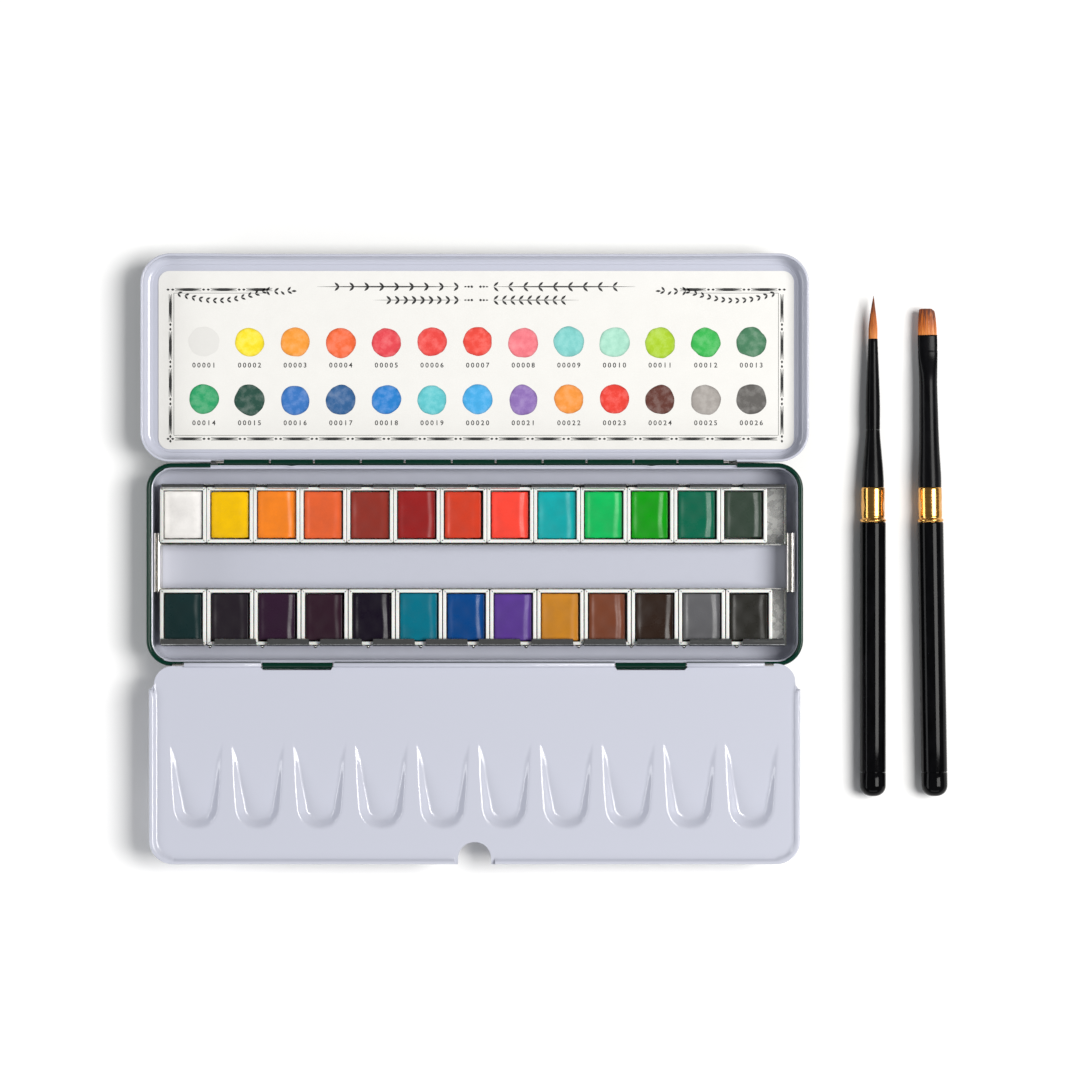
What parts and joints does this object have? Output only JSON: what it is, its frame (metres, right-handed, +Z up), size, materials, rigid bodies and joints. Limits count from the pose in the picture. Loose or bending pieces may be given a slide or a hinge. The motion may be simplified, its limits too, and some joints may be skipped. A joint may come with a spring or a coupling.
{
  "type": "watercolour pan set",
  "caption": "Folding enamelled tin with a hinged lid and mixing palette, a lift-out rack of half pans, a colour sample card and pocket brushes.",
  "frame": {"origin": "middle of the tin base's underside, on the table", "axes": "+X along the tin towards the brushes, +Y towards the open lid, +Z up"},
  "size_m": [0.2767, 0.2085, 0.0169],
  "materials": {
    "base_enamel": "gloss enamel, green outside, pale inside",
    "lid_enamel": "gloss enamel, green outside, pale inside",
    "palette_enamel": "gloss enamel",
    "hinge_enamel": "gloss enamel, dark green",
    "hinge_wire": "plain wire",
    "card": "uncoated card with painted colour samples",
    "rack_tinplate": "bright tinplate",
    "pan_plastic": "white, smooth",
    "bristle": "golden brown synthetic hair",
    "ferrule_black": "gloss black",
    "collar_gold": "polished",
    "handle_black": "gloss black",
    "paint_01": "dried watercolour cake, satin",
    "paint_02": "dried watercolour cake, satin",
    "paint_03": "dried watercolour cake, satin",
    "paint_04": "dried watercolour cake, satin",
    "paint_05": "dried watercolour cake, satin",
    "paint_06": "dried watercolour cake, satin",
    "paint_07": "dried watercolour cake, satin",
    "paint_08": "dried watercolour cake, satin",
    "paint_09": "dried watercolour cake, satin",
    "paint_10": "dried watercolour cake, satin",
    "paint_11": "dried watercolour cake, satin",
    "paint_12": "dried watercolour cake, satin",
    "paint_13": "dried watercolour cake, satin",
    "paint_14": "dried watercolour cake, satin",
    "paint_15": "dried watercolour cake, satin",
    "paint_16": "dried watercolour cake, satin",
    "paint_17": "dried watercolour cake, satin",
    "paint_18": "dried watercolour cake, satin",
    "paint_19": "dried watercolour cake, satin",
    "paint_20": "dried watercolour cake, satin",
    "paint_21": "dried watercolour cake, satin",
    "paint_22": "dried watercolour cake, satin",
    "paint_23": "dried watercolour cake, satin",
    "paint_24": "dried watercolour cake, satin",
    "paint_25": "dried watercolour cake, satin",
    "paint_26": "dried watercolour cake, satin"
  },
  "bodies": {
    "base": {"base_tray": "base_enamel", "base_hinge_leaf": "hinge_enamel", "rear_hinge_pin": "hinge_wire", "front_hinge_straps": "hinge_enamel", "front_hinge_pin": "hinge_wire"},
    "lid": {"lid_shell": "lid_enamel", "lid_hinge_leaf": "hinge_enamel", "colour_card": "card"},
    "palette": {"palette_leaf": "palette_enamel"},
    "rack": {"pan_rack": "rack_tinplate", "half_pans_rear_row": "pan_plastic", "half_pans_front_row": "pan_plastic", "paint_01_white": "paint_01", "paint_02_yellow": "paint_02", "paint_03_orange": "paint_03", "paint_04_vermilion": "paint_04", "paint_05_red_brown": "paint_05", "paint_06_deep_red": "paint_06", "paint_07_red": "paint_07", "paint_08_coral": "paint_08", "paint_09_teal": "paint_09", "paint_10_emerald": "paint_10", "paint_11_green": "paint_11", "paint_12_dark_green": "paint_12", "paint_13_black_green": "paint_13", "paint_14_dark_teal": "paint_14", "paint_15_night_violet": "paint_15", "paint_16_dark_purple": "paint_16", "paint_17_plum": "paint_17", "paint_18_black_violet": "paint_18", "paint_19_teal_blue": "paint_19", "paint_20_blue": "paint_20", "paint_21_violet": "paint_21", "paint_22_ochre": "paint_22", "paint_23_brown": "paint_23", "paint_24_dark_brown": "paint_24", "paint_25_grey": "paint_25", "paint_26_black": "paint_26"},
    "round_brush": {"round_handle": "handle_black", "round_end_cap": "handle_black"},
    "round_head": {"round_bristles": "bristle", "round_ferrule": "ferrule_black", "round_neck": "ferrule_black", "round_collar": "collar_gold"},
    "flat_brush": {"flat_handle": "handle_black", "flat_end_cap": "handle_black"},
    "flat_head": {"flat_bristles": "bristle", "flat_ferrule": "ferrule_black", "flat_neck": "ferrule_black", "flat_collar": "collar_gold"}
  },
  "joints": [
    {"name": "lid_hinge", "type": "hinge", "parent": "base", "child": "lid", "pos_m": [0, 0.03505, 0.0155], "axis": [1, 0, 0], "range_deg": [0, 180]},
    {"name": "palette_hinge", "type": "hinge", "parent": "base", "child": "palette", "pos_m": [0, -0.0342, 0.0161], "axis": [-1, 0, 0], "range_deg": [0, 180]},
    {"name": "rack_lift", "type": "slide", "parent": "base", "child": "rack", "axis": [0, 0, -1], "range_m": [-0.04, 0]},
    {"name": "round_brush_lift", "type": "slide", "parent": "base", "child": "round_brush", "axis": [0, 0, -1], "range_m": [-0.04, 0]},
    {"name": "round_head_pull", "type": "slide", "parent": "round_brush", "child": "round_head", "axis": [0, -1, 0], "range_m": [-0.03, 0]},
    {"name": "flat_brush_lift", "type": "slide", "parent": "base", "child": "flat_brush", "axis": [0, 0, -1], "range_m": [-0.04, 0]},
    {"name": "flat_head_pull", "type": "slide", "parent": "flat_brush", "child": "flat_head", "axis": [0.0157, -0.9999, 0], "range_m": [-0.03, 0]}
  ]
}
